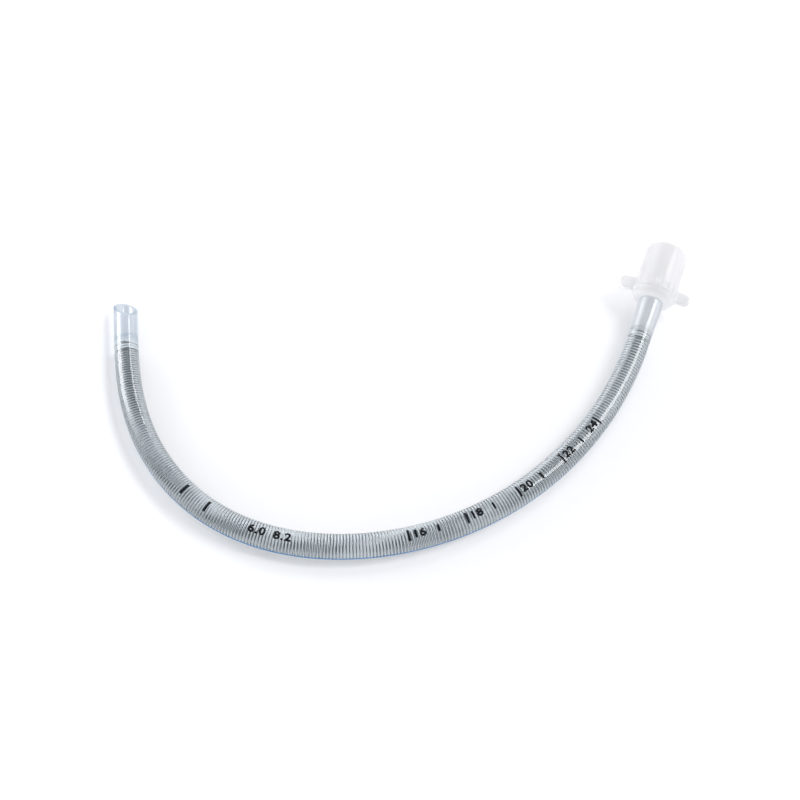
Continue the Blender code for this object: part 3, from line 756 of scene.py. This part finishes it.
class TubeSizes(bpy.types.PropertyGroup):
    """Sizes and tint of the clear wall and what is in it."""

    eye_width: FloatProperty(
        name="Eye width", description="Width of the side eye, in mm", default=2.7, min=1.0)
    eye_length: FloatProperty(
        name="Eye length", description="Length of the side eye, in mm", default=10.2, min=2.0)
    eye_end: FloatProperty(
        name="Eye station", description="Machine end of the side eye, in mm", default=10.1)
    wire: FloatProperty(
        name="Wire", description="Diameter of the steel wire, in mm", default=0.34, min=0.1)
    coil_radius: FloatProperty(
        name="Coil radius", description="Radius of the winding's middle, in mm", default=3.56)
    tip_pitch: FloatProperty(
        name="Pitch at tip", description="Winding pitch near the tip, in mm", default=0.95)
    end_pitch: FloatProperty(
        name="Pitch at connector", description="Winding pitch near the machine end, in mm", default=1.17)
    stripe_width: FloatProperty(
        name="Line width", description="Width of the blue line, in mm", default=1.1)
    stripe_angle: FloatProperty(
        name="Line angle", description="From the top to the outside of the bend",
        default=np.radians(100.0), subtype="ANGLE", unit="ROTATION")
    tint: FloatVectorProperty(
        name="Wall tint", description="Colour left after a long way through the wall",
        default=linear("#A8C2CE"), size=4, subtype="COLOR", min=0.0, max=1.0)


class ConnectorSizes(bpy.types.PropertyGroup):
    """Sizes and colour of the connector."""

    columns: IntProperty(
        name="Columns", description="Steps round the turned form", default=96, min=24)
    wing_reach: FloatProperty(
        name="Wing reach", description="From the axis to a wing's end, in mm", default=12.9)
    wing_length: FloatProperty(
        name="Wing length", description="Along the axis, in mm", default=5.0)
    wing_thickness: FloatProperty(
        name="Wing thickness", description="Thickness of a wing, in mm", default=2.2)
    colour: FloatVectorProperty(
        name="Colour", description="Milky plastic",
        default=linear("#EDEDEE"), size=4, subtype="COLOR", min=0.0, max=1.0)


class PrintSizes(bpy.types.PropertyGroup):
    """Sizes of the print along the top of the tube."""

    digit_size: FloatProperty(
        name="Digit size", description="Height of the digits' body, in mm", default=3.7)
    mark_zero: FloatProperty(
        name="Scale zero", description="Station of the scale's zero, in mm", default=-6.1)
    angle: FloatProperty(
        name="Angle", description="Middle of the print from the top",
        default=np.radians(6.0), subtype="ANGLE", unit="ROTATION")


class StageSizes(bpy.types.PropertyGroup):
    """Camera, table, lamps and room."""

    elevation: FloatProperty(
        name="Elevation", description="Camera's angle above the table",
        default=np.radians(57.226), subtype="ANGLE", unit="ROTATION")
    distance: FloatProperty(
        name="Distance", description="Camera to its aim point", default=0.47439, unit="LENGTH")
    roll: FloatProperty(
        name="Roll", description="Camera's turn about its line of sight",
        default=np.radians(8.776), subtype="ANGLE", unit="ROTATION")
    lens: FloatProperty(
        name="Lens", description="Focal length on a 36 mm sensor, in mm", default=62.317)
    key: FloatProperty(
        name="Key", description="Strength of the key lamp", default=1.14)
    left: FloatProperty(
        name="Left box", description="Power of the softbox on the left", default=4.2, unit="POWER")
    back: FloatProperty(
        name="Back box", description="Power of the softbox behind", default=2.6, unit="POWER")
    front: FloatProperty(
        name="Front fill", description="Power of the low fill in front", default=4.4, unit="POWER")
    room: FloatProperty(
        name="Room", description="Strength of the room's even light", default=0.55)
    dark: FloatProperty(
        name="Ceiling", description="Strength of the ceiling as a gloss shows it", default=0.08)
    left_wall: FloatProperty(
        name="Left wall", description="Strength of the left wall in a gloss", default=3.6)
    right_wall: FloatProperty(
        name="Right wall", description="Strength of the right wall in a gloss", default=2.4)
    back_wall: FloatProperty(
        name="Back wall", description="Strength of the back wall in a gloss", default=1.3)
    lift: FloatProperty(
        name="Table lift", description="White that the table adds to what is lit", default=0.09)
    lift_through: FloatProperty(
        name="Lift through the wall", description="White that it adds behind the clear wall", default=0.06)


class AIRWAY_OT_wall(bpy.types.Operator):
    """Clear wall, from the bevelled tip with its side eye to the machine end over the spigot"""

    bl_idname = "airway.wall"
    bl_label = "Clear wall"

    def execute(self, context):
        sizes = context.scene.airway_tube
        rows = wall_rows()
        wall = new_piece("tube_wall", bent(rows), grid_faces(*rows.shape[:2], closed_rows=True),
                         clear_vinyl(sizes.tint))
        combined(wall, eye_tool(sizes.eye_width, sizes.eye_length, sizes.eye_end), "DIFFERENCE")
        dress(wall, "clear_vinyl", "tube_jacket", "inner_liner")
        return {"FINISHED"}


class AIRWAY_OT_coil(bpy.types.Operator):
    """Round steel wire wound in the wall, with a closed turn at each end"""

    bl_idname = "airway.coil"
    bl_label = "Wire coil"

    def execute(self, context):
        sizes = context.scene.airway_tube
        points = coil_points(sizes.wire, sizes.coil_radius, sizes.tip_pitch, sizes.end_pitch)
        coil = new_piece("wire_coil", bent(points), capped_tube(points), spring_steel(), sharp=80.0)
        dress(coil, "spring_steel", "reinforcing_coil")
        return {"FINISHED"}


class AIRWAY_OT_stripe(bpy.types.Operator):
    """Blue radiopaque line let into the wall's outer surface"""

    bl_idname = "airway.stripe"
    bl_label = "Blue line"

    def execute(self, context):
        sizes = context.scene.airway_tube
        points = line_points(sizes.stripe_width, sizes.stripe_angle)
        stripe = new_piece("blue_line", bent(points), capped_tube(points), blue_vinyl())
        dress(stripe, "blue_vinyl", "radiopaque_stripe")
        return {"FINISHED"}


class AIRWAY_OT_connector(bpy.types.Operator):
    """Milky 15 mm connector in one moulding: cone, ledge, bell, spigot, wings and ribs"""

    bl_idname = "airway.connector"
    bl_label = "Connector"

    def execute(self, context):
        sizes = context.scene.airway_connector
        angles = np.arange(sizes.columns) * 2 * np.pi / sizes.columns
        rows = np.stack([ring(r, angles, s) for r, s in connector_profile()])
        body = new_piece("connector_moulding", set_straight(rows),
                         grid_faces(*rows.shape[:2], closed_rows=True), milky_polypropylene(sizes.colour))
        forms = [wing(side, sizes.wing_reach, sizes.wing_length, sizes.wing_thickness) for side in (-1, 1)]
        first = -(RIBS_PER_SIDE - 1) / 2
        forms += [rib(half + (first + n) * RIB_TURN) for half in (0, np.pi) for n in range(RIBS_PER_SIDE)]
        points, faces = joined([(form.reshape(-1, 3), capped_tube(form)) for form in forms])
        tool = new_piece("wings_and_ribs", set_straight(points), faces)
        combined(body, tool, "UNION")
        dress(body, "milky_polypropylene", "connector")
        return {"FINISHED"}


class AIRWAY_OT_print(bpy.types.Operator):
    """Plain depth scale and size numbers, printed along the top of the tube"""

    bl_idname = "airway.print"
    bl_label = "Depth scale"

    def execute(self, context):
        sizes = context.scene.airway_print
        parts = [mark(station, BAR_LENGTH, LONG_MARK) for station in BAR_STATIONS]
        numbers = list(SIZE_NUMBERS)
        for n in SCALE:
            station = sizes.mark_zero + 10 * n
            parts.append(mark(station - MARK_LENGTH / 2, MARK_LENGTH, LONG_MARK if n % 2 == 0 else SHORT_MARK))
            if n % 2 == 0 and n < SCALE[-1]:
                numbers.append((str(n), station + NUMBER_AFTER_MARK))
        for words, start in (*numbers, LAST_NUMBER):
            points, faces = flat_text(words, sizes.digit_size)
            parts.append((points + (start, 0.0), faces))
        flat, faces = joined(parts)
        angles = sizes.angle - flat[:, 1] / TUBE_RADIUS
        points = bent(ring(TUBE_RADIUS + INK_GAP, angles, flat[:, 0]))
        ink = new_piece("depth_scale", points, faces, printing_ink())
        skin = ink.modifiers.new("film", "SOLIDIFY")
        skin.thickness = INK_FILM * MM
        skin.offset = 1.0
        dress(ink, "blue_vinyl")
        return {"FINISHED"}


def lamp(kind, name, place, strength, **settings):
    """A lamp at a place in metres that faces the middle of the table."""
    data = bpy.data.lights.new(name, kind)
    data.energy = strength
    for setting, value in settings.items():
        setattr(data, setting, value)
    made = bpy.data.objects.new(name, data)
    made.location = place
    made.rotation_euler = Vector(place).to_track_quat("Z", "Y").to_euler()
    bpy.context.collection.objects.link(made)
    return made


class AIRWAY_OT_stage(bpy.types.Operator):
    """White table, soft lamps and the camera"""

    bl_idname = "airway.stage"
    bl_label = "Stage"

    def execute(self, context):
        sizes = context.scene.airway_stage
        corners = TABLE_HALF * np.array([(-1, -1, 0), (1, -1, 0), (1, 1, 0), (-1, 1, 0)])
        table = new_piece("table", corners, [[0, 1, 2, 3]], white_table(sizes.lift, sizes.lift_through))
        tip = route_frames([0.0])[0][0] + SHIFT
        aim = (tip + np.array(AIM_FROM_TIP)) * MM
        sight = np.array([0, np.cos(sizes.elevation), -np.sin(sizes.elevation)])
        view = bpy.data.cameras.new("camera")
        view.lens = sizes.lens
        view.sensor_width = 36.0
        view.clip_start = 0.01
        camera = bpy.data.objects.new("camera", view)
        bpy.context.collection.objects.link(camera)
        camera.matrix_world = (Matrix.Translation(Vector(aim - sizes.distance * sight))
                               @ Matrix.Rotation(np.pi / 2 - sizes.elevation, 4, "X")
                               @ Matrix.Rotation(sizes.roll, 4, "Z"))
        context.scene.camera = camera
        lamp("SUN", "key", (0.82, 0.32, 1.0), sizes.key, angle=np.radians(26.0))
        box = {"shape": "RECTANGLE"}
        lamp("AREA", "left_box", (-0.9, 0.36, 0.26), sizes.left, size=0.6, size_y=0.48, **box)
        lamp("AREA", "back_box", (0.42, 0.88, 0.92), sizes.back, size=0.5, size_y=0.25, **box)
        fill = lamp("AREA", "front_fill", (0.0, -0.97, 0.22), sizes.front, size=0.9, size_y=0.4, **box)
        fill.visible_glossy = False
        context.scene.world = white_room(sizes)
        context.scene.view_settings.view_transform = "Standard"
        return {"FINISHED"}


class AIRWAY_PT_panel(bpy.types.Panel):
    """Lists the pieces of the tube"""

    bl_idname = "AIRWAY_PT_panel"
    bl_label = "Airway tube"
    bl_space_type = "VIEW_3D"
    bl_region_type = "UI"
    bl_category = "Airway tube"

    def draw(self, context):
        for operator in OPERATORS:
            self.layout.operator(operator.bl_idname)


SETTINGS = {"airway_tube": TubeSizes, "airway_connector": ConnectorSizes,
            "airway_print": PrintSizes, "airway_stage": StageSizes}
OPERATORS = (AIRWAY_OT_wall, AIRWAY_OT_coil, AIRWAY_OT_stripe, AIRWAY_OT_connector, AIRWAY_OT_print,
             AIRWAY_OT_stage)


def register():
    for made in (*SETTINGS.values(), *OPERATORS, AIRWAY_PT_panel):
        bpy.utils.register_class(made)
    for name, group in SETTINGS.items():
        setattr(bpy.types.Scene, name, PointerProperty(type=group))


def unregister():
    for name in SETTINGS:
        delattr(bpy.types.Scene, name)
    for made in (AIRWAY_PT_panel, *reversed(OPERATORS), *SETTINGS.values()):
        bpy.utils.unregister_class(made)


def main():
    register()
    bpy.ops.airway.wall()
    bpy.ops.airway.coil()
    bpy.ops.airway.stripe()
    bpy.ops.airway.connector()
    bpy.ops.airway.print()
    bpy.ops.airway.stage()


if __name__ == "__main__":
    main()
